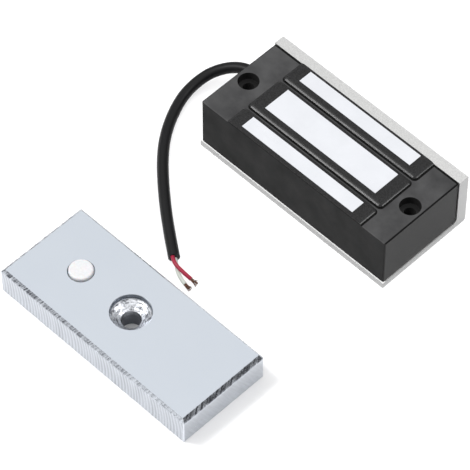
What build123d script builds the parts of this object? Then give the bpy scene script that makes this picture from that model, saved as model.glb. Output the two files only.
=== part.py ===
from build123d import *

import math
import os

# Magnetic door lock, laid out as it is supplied: the magnet lies on its mounting face and the
# armature plate lies beside it.  Millimetres, +Z up.  X runs along the magnet, Y across it, with
# the tall wall of the aluminium angle at +Y and the cable at -X.  The origin is the centre of the
# magnet's flat mounting face.

# ---------------------------------------------------------------- aluminium angle
LOCK_LENGTH = 80.0
LOCK_WIDTH = 37.6
BASE_THICK = 2.4
WALL_THICK = 4.1
WALL_HEIGHT = 22.3
ANGLE_INNER_RADIUS = 1.9
ANGLE_HEEL_RADIUS = 1.0
ANGLE_EDGE_BREAK = 0.35

# ---------------------------------------------------------------- moulded housing
END_INSET = 0.3
SIDE_INSET = 0.4
BLOCK_TOP = 21.9
LAND_HEIGHT = 0.9
LAND_LENGTH = 57.3
LAND_CENTRE_X = 0.6
LAND_CENTRE_Y = -2.38
MIDDLE_LAND_WIDTH = 14.2
CHANNEL_WIDTH = 1.2
LAND_CORNER_RADIUS = 1.2
LAND_BEVEL_WIDTH = 1.0
LAND_BEVEL_HEIGHT = 0.45
HOUSING_CORNER_RADIUS = 0.6
HOUSING_EDGE_RADIUS = 0.3
HOUSING_HEEL_CHAMFER = 2.1
CEILING = 20.3
CAVITY_LENGTH = 59.2

# ---------------------------------------------------------------- mounting holes
HOLE_SPACING = 70.0
HOLE_Y = -2.2
HOLE_RADIUS = 1.9
COUNTERBORE_RADIUS = 3.5
COUNTERBORE_DEPTH = 3.2

# ---------------------------------------------------------------- iron core
POLE_LENGTH = 47.6
POLE_CENTRE_Y = -1.6
POLE_PITCH = 12.85
MIDDLE_POLE_WIDTH = 10.3
SIDE_POLE_WIDTH = 5.15
POLE_STAND_OUT = 0.1
YOKE_THICK = 4.5
YOKE_CHAMFER = 1.0

# ---------------------------------------------------------------- coil
BOBBIN_WALL = 0.8
FLANGE_THICK = 0.8
FLANGE_OVERHANG = 4.6
WINDING_BUILD = 2.9
TAPE_THICK = 0.25
TAB_REACH = 1.3
TAB_ROOT = 0.4
TAB_MARGIN = 1.4
PIN_RADIUS = 0.4
PIN_LENGTH = 3.5
PIN_Z = 8.0
PIN_Y_RED = 10.0
PIN_Y_WHITE = 3.4

# ---------------------------------------------------------------- wiring pocket and diode
POCKET_END_X = -37.7
POCKET_Y_LOW = 2.0
POCKET_Y_HIGH = 13.2
POCKET_TOP = 15.0
SLEEVE_RADIUS = 1.05
SLEEVE_HALF_LENGTH = 1.2
DIODE_RADIUS = 1.35
DIODE_LENGTH = 5.2
DIODE_X = -29.6
DIODE_Z = 12.0
DIODE_LEAD_RADIUS = 0.35
DIODE_LEAD_BEND = 0.6
DIODE_LEAD_ROOT = 0.3
DIODE_CHAMFER = 0.25
LEAD_MARGIN = 0.2

# ---------------------------------------------------------------- screws
CORE_SCREW_RADIUS = 1.5
CORE_SCREW_SPACING = 28.0
CORE_SCREW_LENGTH = 12.0
POLE_SCREW_RADIUS = 1.1
POLE_SCREW_SPACING = 32.0
POLE_SCREW_LENGTH = 9.0
POLE_SCREW_INSET = 0.4
HEAD_RADIUS_RATIO = 1.8
HEAD_HEIGHT_RATIO = 1.0
HEAD_RIM_SHARE = 0.125
DRIVE_RADIUS_RATIO = 0.6
DRIVE_DEPTH_RATIO = 0.5

# ---------------------------------------------------------------- cable
CABLE_RADIUS = 1.9
CABLE_INNER_X = -36.6
GROMMET_BODY_RADIUS = 2.7
GROMMET_FLANGE_RADIUS = 3.4
GROMMET_EDGE_RADIUS = 0.4
CORE_WIRE_RADIUS = 0.65
CORE_WIRE_OFFSET = 0.7
STRAND_RADIUS = 0.4
ARC_SHARE = 0.45

# The free length of the jacket, from the grommet's outer face to the stripped end.  It drops to
# the surface behind the lock and curves round towards the armature plate.
JACKET_ROUTE = [
    (-40.7, 10.3, 7.0),
    (-45.6, 10.3, 7.0),
    (-50.3, 8.6, 6.5),
    (-54.1, 5.2, 5.4),
    (-56.8, -0.1, 4.1),
    (-57.2, -8.6, 2.6),
    (-54.2, -17.2, 1.9),
    (-49.3, -25.6, 1.9),
    (-42.7, -33.2, 1.9),
    (-33.4, -41.6, 1.9),
    (-22.7, -50.2, 1.9),
    (-13.1, -57.0, 1.9),
]

# The two cores beyond the jacket, from its cut face to the end of their insulation.
RED_ROUTE = [
    (-13.39, -57.41, 2.6),
    (-11.43, -58.80, 2.6),
    (-7.4, -59.2, 2.3),
    (-3.7, -58.9, 1.5),
]
WHITE_ROUTE = [
    (-12.90, -56.71, 1.2),
    (-11.27, -57.87, 1.2),
    (-7.6, -60.6, 1.1),
    (-3.9, -61.3, 0.9),
]
STRAND_LENGTH = 2.8

# ---------------------------------------------------------------- armature plate
PLATE_LENGTH = 80.0
PLATE_WIDTH = 34.0
PLATE_THICK = 10.8
PLATE_CENTRE_X = -3.0
PLATE_CENTRE_Y = -85.2
PLATE_SIDE_CHAMFER = 0.9
PLATE_END_CHAMFER = 1.2
BORE_RADIUS = 3.25
RECESS_RADIUS = 6.6
RECESS_DEPTH = 2.0
DRILL_HALF_ANGLE = 59.0

# ---------------------------------------------------------------- release plunger
PLUNGER_X = -22.0
PLUNGER_TRAVEL = 1.0
PLUNGER_RADIUS = 3.95
PLUNGER_BORE_RADIUS = 4.25
PLUNGER_NECK_DEPTH = 4.0
PLUNGER_EDGE_RADIUS = 0.6
PLUNGER_COLLAR_RADIUS = 4.6
PLUNGER_COLLAR_THICK = 1.4
PLUNGER_ROOT = 0.5
PLUNGER_BACK_RADIUS = 4.9
PLUG_THICK = 2.0
PLUG_RECESS = 0.3
PLUG_SLOT_WIDTH = 1.0
PLUG_SLOT_DEPTH = 0.8
SPRING_WIRE_RADIUS = 0.25
SPRING_RADIUS = 3.3
SPRING_TURNS = 3.0

# How far a cutting shape runs past what it cuts.
OVERRUN = 1.0

HOUSING_LENGTH = LOCK_LENGTH - 2 * END_INSET
HOUSING_Y_LOW = -LOCK_WIDTH / 2 + SIDE_INSET
HOUSING_Y_HIGH = LOCK_WIDTH / 2 - WALL_THICK
HOUSING_END_X = -HOUSING_LENGTH / 2
LAND_TOP = BLOCK_TOP + LAND_HEIGHT
POLE_TOP = LAND_TOP + POLE_STAND_OUT
YOKE_TOP = BASE_THICK + YOKE_THICK
CABLE_EXIT = JACKET_ROUTE[0]


def block(x_low, x_high, y_low, y_high, z_low, z_high):
    """A box from its lowest corner to its highest corner."""
    size = (x_high - x_low, y_high - y_low, z_high - z_low)
    centre = ((x_low + x_high) / 2, (y_low + y_high) / 2, (z_low + z_high) / 2)
    return Pos(*centre) * Box(*size)


def rod(radius, start, end):
    """A round rod between two points."""
    direction = Vector(*end) - Vector(*start)
    plane = Plane(origin=start, z_dir=direction)
    return extrude(plane * Circle(radius), amount=direction.length)


def upright(radius, x, y, z_low, z_high):
    """A round rod along Z."""
    return rod(radius, (x, y, z_low), (x, y, z_high))


def along_x(radius, x_start, x_end, y, z):
    """A round rod along X."""
    return rod(radius, (x_start, y, z), (x_end, y, z))


def centred_bar(length, width, z_low, z_high, centre_y):
    """A bar along X on the core's own centre."""
    return block(
        LAND_CENTRE_X - length / 2,
        LAND_CENTRE_X + length / 2,
        centre_y - width / 2,
        centre_y + width / 2,
        z_low,
        z_high,
    )


def rounded_bar(length, width, radius, z_low, z_high, centre_y):
    """A bar along X with rounded upright corners, on the core's own centre."""
    outline = Pos(LAND_CENTRE_X, centre_y, z_low) * RectangleRounded(length, width, radius)
    return extrude(outline, amount=z_high - z_low)


def save(name, shape):
    export_step(shape, os.path.join("parts", name + ".step"))


# ================================================================ aluminium angle
def mounting_xs():
    return (-HOLE_SPACING / 2, HOLE_SPACING / 2)


def core_screw_places():
    return [(LAND_CENTRE_X + side * CORE_SCREW_SPACING / 2, POLE_CENTRE_Y) for side in (-1, 1)]


def pole_screw_places():
    xs = [LAND_CENTRE_X + side * POLE_SCREW_SPACING / 2 for side in (-1, 1)]
    reach = POLE_PITCH - POLE_SCREW_INSET
    ys = [POLE_CENTRE_Y - reach, POLE_CENTRE_Y + reach]
    return [(x, y) for x in xs for y in ys]


def angle_section():
    """The L outline, drawn across the extrusion."""
    half = LOCK_WIDTH / 2
    inner = half - WALL_THICK
    corners = [
        (-half, 0),
        (half, 0),
        (half, WALL_HEIGHT),
        (inner, WALL_HEIGHT),
        (inner, BASE_THICK),
        (-half, BASE_THICK),
    ]
    outline = make_face(Plane.YZ * Polyline(*corners, close=True))
    corner_at = {(round(v.Y, 3), round(v.Z, 3)): v for v in outline.vertices()}
    outline = fillet(corner_at[(round(inner, 3), BASE_THICK)], ANGLE_INNER_RADIUS)
    corner_at = {(round(v.Y, 3), round(v.Z, 3)): v for v in outline.vertices()}
    outline = fillet(corner_at[(half, 0.0)], ANGLE_HEEL_RADIUS)
    corner_at = {(round(v.Y, 3), round(v.Z, 3)): v for v in outline.vertices()}
    return chamfer(corner_at[(half, WALL_HEIGHT)], ANGLE_EDGE_BREAK)


def angle_bracket():
    bracket = Pos(-LOCK_LENGTH / 2, 0, 0) * extrude(angle_section(), amount=LOCK_LENGTH, dir=(1, 0, 0))
    for x in mounting_xs():
        bracket -= upright(HOLE_RADIUS, x, HOLE_Y, -OVERRUN, BASE_THICK + OVERRUN)
    for room in core_screw_rooms():
        bracket -= room
    return bracket


# ================================================================ screws
def flat_head_screw(radius, length):
    """A countersunk screw standing on its head, with its flat face at the origin."""
    head_radius = radius * HEAD_RADIUS_RATIO
    head_height = radius * HEAD_HEIGHT_RATIO
    rim = head_height * HEAD_RIM_SHARE
    on_floor = (Align.CENTER, Align.CENTER, Align.MIN)
    head = Cylinder(head_radius, rim, align=on_floor)
    cone = Pos(0, 0, rim) * Cone(head_radius, radius, head_height - rim, align=on_floor)
    shank = Cylinder(radius, length, align=on_floor)
    return head + cone + shank


def driven_screw(radius, length):
    """The same screw with a hexagonal drive in its head."""
    drive = RegularPolygon(radius * DRIVE_RADIUS_RATIO, 6)
    return flat_head_screw(radius, length) - extrude(drive, amount=radius * DRIVE_DEPTH_RATIO)


def core_screw_rooms():
    """The room that each screw through the angle, yoke and middle pole takes."""
    screw = flat_head_screw(CORE_SCREW_RADIUS, CORE_SCREW_LENGTH)
    return [Pos(x, y, 0) * screw for x, y in core_screw_places()]


def pole_screw_rooms():
    """The room that each screw through the yoke and a side pole takes."""
    screw = flat_head_screw(POLE_SCREW_RADIUS, POLE_SCREW_LENGTH)
    return [Pos(x, y, BASE_THICK) * screw for x, y in pole_screw_places()]


def core_screws():
    screw = driven_screw(CORE_SCREW_RADIUS, CORE_SCREW_LENGTH)
    return Compound(children=[Pos(x, y, 0) * screw for x, y in core_screw_places()])


def pole_screws():
    screw = driven_screw(POLE_SCREW_RADIUS, POLE_SCREW_LENGTH)
    return Compound(children=[Pos(x, y, BASE_THICK) * screw for x, y in pole_screw_places()])


# ================================================================ moulded housing
def land(y_low, y_high, open_low, open_high):
    """One raised land of the front face.  An open side runs out past the housing."""
    reach = 2 * LAND_CORNER_RADIUS
    low = y_low - (reach if open_low else 0)
    high = y_high + (reach if open_high else 0)
    raised = rounded_bar(
        LAND_LENGTH,
        high - low,
        LAND_CORNER_RADIUS,
        BLOCK_TOP - OVERRUN,
        LAND_TOP,
        (low + high) / 2,
    )
    top = raised.faces().sort_by(Axis.Z)[-1]
    raised = chamfer(top.edges(), LAND_BEVEL_WIDTH, LAND_BEVEL_HEIGHT, reference=top)
    strip = block(-LOCK_LENGTH, LOCK_LENGTH, y_low, y_high, BLOCK_TOP - OVERRUN, LAND_TOP + OVERRUN)
    return raised & strip


def lands():
    middle_low = LAND_CENTRE_Y - MIDDLE_LAND_WIDTH / 2
    middle_high = LAND_CENTRE_Y + MIDDLE_LAND_WIDTH / 2
    free = land(HOUSING_Y_LOW, middle_low - CHANNEL_WIDTH, True, False)
    middle = land(middle_low, middle_high, False, False)
    wall_side = land(middle_high + CHANNEL_WIDTH, HOUSING_Y_HIGH, False, True)
    return [free, middle, wall_side]


def cavity():
    """The space inside the housing that the core, coil and wiring are potted into."""
    core_room = block(
        LAND_CENTRE_X - CAVITY_LENGTH / 2,
        LAND_CENTRE_X + CAVITY_LENGTH / 2,
        POLE_CENTRE_Y - POLE_PITCH - SIDE_POLE_WIDTH / 2,
        POLE_CENTRE_Y + POLE_PITCH + SIDE_POLE_WIDTH / 2,
        BASE_THICK,
        CEILING,
    )
    pocket = block(
        POCKET_END_X,
        LAND_CENTRE_X - CAVITY_LENGTH / 2 + OVERRUN,
        POCKET_Y_LOW,
        POCKET_Y_HIGH,
        BASE_THICK,
        POCKET_TOP,
    )
    return core_room + pocket


def heel_cut():
    """The corner that clears the fillet inside the aluminium angle."""
    side = HOUSING_HEEL_CHAMFER * math.sqrt(2)
    return Pos(0, HOUSING_Y_HIGH, BASE_THICK) * Rot(45, 0, 0) * Box(LOCK_LENGTH, side, side)


def housing_block():
    """The plain outside of the housing, with broken edges and the heel cut for the angle's fillet."""
    body = block(
        -HOUSING_LENGTH / 2,
        HOUSING_LENGTH / 2,
        HOUSING_Y_LOW,
        HOUSING_Y_HIGH,
        BASE_THICK,
        BLOCK_TOP,
    )
    body = fillet(body.edges().filter_by(Axis.Z), HOUSING_CORNER_RADIUS)
    body = fillet(body.faces().sort_by(Axis.Z)[-1].edges(), HOUSING_EDGE_RADIUS)
    return body - heel_cut()


def housing_shell():
    shell = housing_block()
    for raised in lands():
        shell += raised
    shell -= cavity()
    for pole in (middle_pole(), free_side_pole(), wall_side_pole()):
        shell -= pole
    for x in mounting_xs():
        shell -= upright(HOLE_RADIUS, x, HOLE_Y, 0, LAND_TOP)
        shell -= upright(COUNTERBORE_RADIUS, x, HOLE_Y, BLOCK_TOP - COUNTERBORE_DEPTH, LAND_TOP)
    outside = HOUSING_END_X - OVERRUN
    inside = POCKET_END_X + OVERRUN
    shell -= along_x(GROMMET_BODY_RADIUS, outside, inside, *CABLE_EXIT[1:])
    return shell


# ================================================================ iron core
def pole_bar(width, centre_y):
    bar = centred_bar(POLE_LENGTH, width, YOKE_TOP, POLE_TOP, centre_y)
    for room in core_screw_rooms() + pole_screw_rooms():
        bar -= room
    return bar


def middle_pole():
    return pole_bar(MIDDLE_POLE_WIDTH, POLE_CENTRE_Y)


def free_side_pole():
    return pole_bar(SIDE_POLE_WIDTH, POLE_CENTRE_Y - POLE_PITCH)


def wall_side_pole():
    return pole_bar(SIDE_POLE_WIDTH, POLE_CENTRE_Y + POLE_PITCH)


def yoke_plate():
    width = 2 * POLE_PITCH + SIDE_POLE_WIDTH
    yoke = centred_bar(POLE_LENGTH, width, BASE_THICK, YOKE_TOP, POLE_CENTRE_Y)
    lower_edges = yoke.faces().sort_by(Axis.Z)[0].edges().filter_by(Axis.X)
    yoke = chamfer(lower_edges, YOKE_CHAMFER)
    for room in core_screw_rooms() + pole_screw_rooms():
        yoke -= room
    return yoke


# ================================================================ coil
def ring(inner_gap, build, z_low, z_high):
    """A band round the middle pole, from a gap outside it and as thick as its build."""
    outer_gap = inner_gap + build
    outer = rounded_bar(
        POLE_LENGTH + 2 * outer_gap,
        MIDDLE_POLE_WIDTH + 2 * outer_gap,
        outer_gap,
        z_low,
        z_high,
        POLE_CENTRE_Y,
    )
    if inner_gap == 0:
        return outer - centred_bar(POLE_LENGTH, MIDDLE_POLE_WIDTH, z_low, z_high, POLE_CENTRE_Y)
    inner = rounded_bar(
        POLE_LENGTH + 2 * inner_gap,
        MIDDLE_POLE_WIDTH + 2 * inner_gap,
        inner_gap,
        z_low,
        z_high,
        POLE_CENTRE_Y,
    )
    return outer - inner


def winding_levels():
    return YOKE_TOP + FLANGE_THICK, CEILING - FLANGE_THICK


def tab_x():
    return LAND_CENTRE_X - POLE_LENGTH / 2 - FLANGE_OVERHANG - TAB_REACH


def terminal_tab():
    """The thick tab on the lower flange that the coil pins stand in."""
    return block(
        tab_x(),
        tab_x() + TAB_REACH + TAB_ROOT,
        PIN_Y_WHITE - TAB_MARGIN,
        PIN_Y_RED + TAB_MARGIN,
        YOKE_TOP,
        2 * PIN_Z - YOKE_TOP,
    )


def coil_bobbin():
    wind_low, wind_high = winding_levels()
    sleeve = ring(0, BOBBIN_WALL, YOKE_TOP, CEILING)
    lower_flange = ring(0, FLANGE_OVERHANG, YOKE_TOP, wind_low)
    upper_flange = ring(0, FLANGE_OVERHANG, wind_high, CEILING)
    bobbin = sleeve + lower_flange + upper_flange + terminal_tab()
    for pin in pins():
        bobbin -= pin
    return bobbin


def pins():
    start = tab_x() + TAB_REACH
    return [along_x(PIN_RADIUS, start, pin_tip_x(), y, PIN_Z) for y in (PIN_Y_RED, PIN_Y_WHITE)]


def coil_pins():
    return Compound(children=pins())


def coil_winding():
    return ring(BOBBIN_WALL, WINDING_BUILD, *winding_levels()) - terminal_tab()


def coil_tape():
    return ring(BOBBIN_WALL + WINDING_BUILD, TAPE_THICK, *winding_levels()) - terminal_tab()


# ================================================================ wiring inside
def arc_radii(route):
    """The largest tangent arc at each corner that leaves a straight piece on both runs."""
    points = [Vector(*point) for point in route]
    radii = []
    for before, corner, after in zip(points, points[1:], points[2:]):
        first = corner - before
        second = after - corner
        half_turn = math.radians(first.get_angle(second)) / 2
        radii.append(ARC_SHARE * min(first.length, second.length) / math.tan(half_turn))
    return radii


def tube(route, radius):
    """A round tube along straight runs that are joined by tangent arcs."""
    path = FilletPolyline(*route, radius=arc_radii(route))
    start = Plane(origin=path @ 0, z_dir=path % 0)
    return sweep(start * Circle(radius), path=path), path.length


def pin_tip_x():
    return tab_x() + TAB_REACH - PIN_LENGTH


def lead_route(offset, pin_y):
    """One cable core from the inner end of the jacket to its coil pin."""
    exit_y, exit_z = CABLE_EXIT[1], CABLE_EXIT[2]
    straight = SLEEVE_HALF_LENGTH + LEAD_MARGIN
    bend_x = CABLE_INNER_X + straight
    return [
        (CABLE_INNER_X, exit_y + offset, exit_z),
        (bend_x, exit_y + offset, exit_z),
        (pin_tip_x() - straight, pin_y, PIN_Z),
        (pin_tip_x(), pin_y, PIN_Z),
    ]


def inner_lead_red():
    lead, _ = tube(lead_route(CORE_WIRE_OFFSET, PIN_Y_RED), CORE_WIRE_RADIUS)
    return lead


def inner_lead_white():
    lead, _ = tube(lead_route(-CORE_WIRE_OFFSET, PIN_Y_WHITE), CORE_WIRE_RADIUS)
    return lead


def joint_sleeves():
    """Shrunk sleeves over the two soldered joints between the leads and the coil pins."""
    joint = pin_tip_x()
    low = joint - SLEEVE_HALF_LENGTH
    high = joint + SLEEVE_HALF_LENGTH
    leads = [inner_lead_red(), inner_lead_white()]
    sleeves = []
    for pin_y, lead, pin in zip((PIN_Y_RED, PIN_Y_WHITE), leads, pins()):
        sleeves.append(along_x(SLEEVE_RADIUS, low, high, pin_y, PIN_Z) - lead - pin)
    return Compound(children=sleeves)


def suppressor_diode():
    """An axial diode across the coil pins, with its leads bent down on to them."""
    middle_y = (PIN_Y_RED + PIN_Y_WHITE) / 2
    body = rod(
        DIODE_RADIUS,
        (DIODE_X, middle_y - DIODE_LENGTH / 2, DIODE_Z),
        (DIODE_X, middle_y + DIODE_LENGTH / 2, DIODE_Z),
    )
    body = chamfer(body.edges().filter_by(GeomType.CIRCLE), DIODE_CHAMFER)
    foot_z = PIN_Z + PIN_RADIUS
    for pin_y, side in ((PIN_Y_RED, 1), (PIN_Y_WHITE, -1)):
        body_end = middle_y + side * (DIODE_LENGTH / 2 - DIODE_LEAD_ROOT)
        route = [(DIODE_X, body_end, DIODE_Z), (DIODE_X, pin_y, DIODE_Z), (DIODE_X, pin_y, foot_z)]
        path = FilletPolyline(*route, radius=DIODE_LEAD_BEND)
        start = Plane(origin=path @ 0, z_dir=path % 0)
        body += sweep(start * Circle(DIODE_LEAD_RADIUS), path=path)
    return body


def potting_fill(inner_parts):
    """Resin in every space of the cavity that the other pieces leave."""
    fill = cavity() - heel_cut()
    for part in inner_parts:
        fill -= part
    for room in core_screw_rooms() + pole_screw_rooms():
        fill -= room
    return fill


# ================================================================ cable
def cable_grommet():
    exit_x, exit_y, exit_z = CABLE_EXIT
    flange = along_x(GROMMET_FLANGE_RADIUS, exit_x, HOUSING_END_X, exit_y, exit_z)
    flange = fillet(flange.edges().sort_by(Axis.X)[0], GROMMET_EDGE_RADIUS)
    neck = along_x(GROMMET_BODY_RADIUS, HOUSING_END_X, POCKET_END_X, exit_y, exit_z)
    bore = along_x(CABLE_RADIUS, exit_x - OVERRUN, POCKET_END_X + OVERRUN, exit_y, exit_z)
    return flange + neck - bore


def cable_tail():
    exit_x, exit_y, exit_z = CABLE_EXIT
    return along_x(CABLE_RADIUS, exit_x, CABLE_INNER_X, exit_y, exit_z)


def strands(route):
    """The bare end of a core, in line with its last run."""
    last, before = Vector(*route[-1]), Vector(*route[-2])
    direction = (last - before).normalized()
    end = last + direction * STRAND_LENGTH
    return rod(STRAND_RADIUS, tuple(last), tuple(end))


def report_tube(name, shape, route, radius, length):
    expected = math.pi * radius**2 * length
    radii = ", ".join(f"{value:.1f}" for value in arc_radii(route))
    print(f"{name}: length {length:.1f}, volume {shape.volume:.1f} of {expected:.1f}, radii {radii}")


# ================================================================ armature plate
def plate_place():
    return Pos(PLATE_CENTRE_X, PLATE_CENTRE_Y, 0)


def drilled_recess():
    """The flat-sided recess and the drill-point cone that leads to the through hole."""
    cone_height = (RECESS_RADIUS - BORE_RADIUS) / math.tan(math.radians(DRILL_HALF_ANGLE))
    recess_floor = PLATE_THICK - RECESS_DEPTH
    wall = upright(RECESS_RADIUS, 0, 0, recess_floor, PLATE_THICK + OVERRUN)
    cone = Pos(0, 0, recess_floor - cone_height) * Cone(
        BORE_RADIUS,
        RECESS_RADIUS,
        cone_height,
        align=(Align.CENTER, Align.CENTER, Align.MIN),
    )
    hole = upright(BORE_RADIUS, 0, 0, -OVERRUN, PLATE_THICK)
    return wall + cone + hole


def armature_plate():
    plate = block(-PLATE_LENGTH / 2, PLATE_LENGTH / 2, -PLATE_WIDTH / 2, PLATE_WIDTH / 2, 0, PLATE_THICK)
    plate = chamfer(plate.faces().sort_by(Axis.Z)[-1].edges().filter_by(Axis.X), PLATE_SIDE_CHAMFER)
    plate = chamfer(plate.faces().sort_by(Axis.Z)[-1].edges().filter_by(Axis.Y), PLATE_END_CHAMFER)
    plate -= drilled_recess()
    shoulder = PLATE_THICK - PLUNGER_NECK_DEPTH
    plate -= upright(PLUNGER_BORE_RADIUS, PLUNGER_X, 0, 0, PLATE_THICK + OVERRUN)
    plate -= upright(PLUNGER_BACK_RADIUS, PLUNGER_X, 0, -OVERRUN, shoulder)
    return plate_place() * plate


# ================================================================ release plunger
def collar_bottom():
    return PLATE_THICK - PLUNGER_NECK_DEPTH - PLUNGER_COLLAR_THICK


def plug_top():
    return PLUG_RECESS + PLUG_THICK


def release_plunger():
    """A nylon button whose collar rests under the shoulder of its bore."""
    shoulder = PLATE_THICK - PLUNGER_NECK_DEPTH
    top = PLATE_THICK + PLUNGER_TRAVEL
    button = upright(PLUNGER_RADIUS, PLUNGER_X, 0, shoulder - PLUNGER_ROOT, top)
    button = fillet(button.edges().sort_by(Axis.Z)[-1], PLUNGER_EDGE_RADIUS)
    collar = upright(PLUNGER_COLLAR_RADIUS, PLUNGER_X, 0, collar_bottom(), shoulder)
    return plate_place() * (button + collar)


def plunger_spring():
    """A short coil spring between the plug and the plunger's collar."""
    height = collar_bottom() - plug_top() - 2 * SPRING_WIRE_RADIUS
    helix = Helix(pitch=height / SPRING_TURNS, height=height, radius=SPRING_RADIUS)
    start = Plane(origin=helix @ 0, z_dir=helix % 0)
    coil = sweep(start * Circle(SPRING_WIRE_RADIUS), path=helix, is_frenet=True)
    place = Pos(PLUNGER_X, 0, plug_top() + SPRING_WIRE_RADIUS)
    return plate_place() * place * coil


def plunger_plug():
    """The slotted plug that closes the back of the plunger's bore."""
    plug = upright(PLUNGER_BACK_RADIUS, PLUNGER_X, 0, PLUG_RECESS, plug_top())
    slot = block(
        PLUNGER_X - PLUNGER_BACK_RADIUS,
        PLUNGER_X + PLUNGER_BACK_RADIUS,
        -PLUG_SLOT_WIDTH / 2,
        PLUG_SLOT_WIDTH / 2,
        0,
        PLUG_RECESS + PLUG_SLOT_DEPTH,
    )
    return plate_place() * (plug - slot)


# ================================================================ build
def main():
    os.makedirs("parts", exist_ok=True)
    inner_parts = {
        "yoke_plate": yoke_plate(),
        "middle_pole": middle_pole(),
        "free_side_pole": free_side_pole(),
        "wall_side_pole": wall_side_pole(),
        "coil_bobbin": coil_bobbin(),
        "coil_winding": coil_winding(),
        "coil_tape": coil_tape(),
        "coil_pins": coil_pins(),
        "joint_sleeves": joint_sleeves(),
        "suppressor_diode": suppressor_diode(),
        "inner_lead_red": inner_lead_red(),
        "inner_lead_white": inner_lead_white(),
        "cable_tail": cable_tail(),
    }
    for name, shape in inner_parts.items():
        save(name, shape)
    save("core_screws", core_screws())
    save("pole_screws", pole_screws())
    save("potting_fill", potting_fill(list(inner_parts.values())))
    save("angle_bracket", angle_bracket())
    save("housing_shell", housing_shell())
    save("cable_grommet", cable_grommet())
    for name, route, radius in (
        ("cable_jacket", JACKET_ROUTE, CABLE_RADIUS),
        ("core_wire_red", RED_ROUTE, CORE_WIRE_RADIUS),
        ("core_wire_white", WHITE_ROUTE, CORE_WIRE_RADIUS),
    ):
        shape, length = tube(route, radius)
        save(name, shape)
        report_tube(name, shape, route, radius, length)
    save("strands_red", strands(RED_ROUTE))
    save("strands_white", strands(WHITE_ROUTE))
    save("armature_plate", armature_plate())
    save("release_plunger", release_plunger())
    save("plunger_spring", plunger_spring())
    save("plunger_plug", plunger_plug())


main()
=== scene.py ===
import math
import random

import bmesh
import bpy
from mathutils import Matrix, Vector
from mathutils.noise import noise


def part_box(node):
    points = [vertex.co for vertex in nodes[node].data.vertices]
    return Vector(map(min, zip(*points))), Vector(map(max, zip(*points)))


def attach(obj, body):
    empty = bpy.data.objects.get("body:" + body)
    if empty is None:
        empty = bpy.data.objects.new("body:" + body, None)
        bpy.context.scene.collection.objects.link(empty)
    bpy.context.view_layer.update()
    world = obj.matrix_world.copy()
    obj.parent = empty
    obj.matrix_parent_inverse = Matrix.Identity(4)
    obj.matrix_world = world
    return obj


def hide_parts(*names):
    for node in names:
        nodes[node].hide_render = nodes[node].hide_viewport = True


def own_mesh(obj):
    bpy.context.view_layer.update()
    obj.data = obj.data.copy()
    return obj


# Magnetic door lock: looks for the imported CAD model.  Blender's unit is the metre.  Sizes that are
# easier to read in millimetres are multiplied by MM.  Noise reads places in millimetres.

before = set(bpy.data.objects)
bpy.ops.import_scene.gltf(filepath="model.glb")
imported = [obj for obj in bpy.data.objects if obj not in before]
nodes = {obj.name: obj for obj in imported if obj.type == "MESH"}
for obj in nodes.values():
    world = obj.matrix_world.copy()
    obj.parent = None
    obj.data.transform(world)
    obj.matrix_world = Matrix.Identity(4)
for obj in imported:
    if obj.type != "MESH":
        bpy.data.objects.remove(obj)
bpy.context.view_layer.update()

MM = 0.001

# ================================================================ camera
CAMERA_TARGET = Vector((-6.85, -36.49, 0.0)) * MM
CAMERA_AZIMUTH = math.radians(44.9)
CAMERA_ELEVATION = math.radians(53.4)
CAMERA_DISTANCE = 1.0955
CAMERA_LENS = 268.1
SENSOR_WIDTH = 36.0
CLIP_START = 0.05
CLIP_END = 20.0


def direction_from(azimuth, elevation):
    """The unit vector from the object towards a viewer: azimuth 0 is at -Y, 90 is at +X."""
    level = math.cos(elevation)
    return Vector((math.sin(azimuth) * level, -math.cos(azimuth) * level, math.sin(elevation)))


def add_camera():
    data = bpy.data.cameras.new("camera")
    data.lens = CAMERA_LENS
    data.sensor_width = SENSOR_WIDTH
    data.clip_start = CLIP_START
    data.clip_end = CLIP_END
    camera = bpy.data.objects.new("camera", data)
    bpy.context.scene.collection.objects.link(camera)
    back = direction_from(CAMERA_AZIMUTH, CAMERA_ELEVATION)
    camera.location = CAMERA_TARGET + back * CAMERA_DISTANCE
    camera.rotation_euler = (-back).to_track_quat("-Z", "Y").to_euler()
    bpy.context.scene.camera = camera


# ================================================================ light and floor
WORLD_STRENGTH = 1.14
# Grey levels of the sky by height: 0 is the horizon and 1 is straight up.
SKY_STOPS = [
    (0.0, 0.70),
    (0.27, 0.60),
    (0.36, 0.07),
    (0.50, 0.07),
    (0.64, 0.95),
    (1.0, 1.0),
]
# Each lamp is a name, a direction from the object, a distance, a size and a power.
LAMPS = [
    ("key", (-0.42, -0.33, 0.845), 0.7, 0.18, 2.8),
    ("front_fill", (-0.42, -0.80, 0.42), 0.8, 0.36, 0.5),
    ("end_light", (0.40, 0.42, 0.81), 0.7, 0.12, 0.9),
]
FLOOR_SIZE = 8.0
FLOOR_DROP = 0.05 * MM
FLOOR_PAPER = (0.93, 0.93, 0.935)


def add_world():
    """A bright ceiling and a pale horizon, with a dark band between them that edges reflect."""
    world = bpy.data.worlds.new("studio")
    world.use_nodes = True
    tree = world.node_tree
    background = tree.nodes["Background"]
    background.inputs["Strength"].default_value = WORLD_STRENGTH
    coordinates = tree.nodes.new("ShaderNodeTexCoord")
    split = tree.nodes.new("ShaderNodeSeparateXYZ")
    ramp = tree.nodes.new("ShaderNodeValToRGB")
    set_stops(ramp, SKY_STOPS)
    tree.links.new(coordinates.outputs["Generated"], split.inputs[0])
    tree.links.new(split.outputs["Z"], ramp.inputs[0])
    tree.links.new(ramp.outputs[0], background.inputs["Color"])
    bpy.context.scene.world = world


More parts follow.
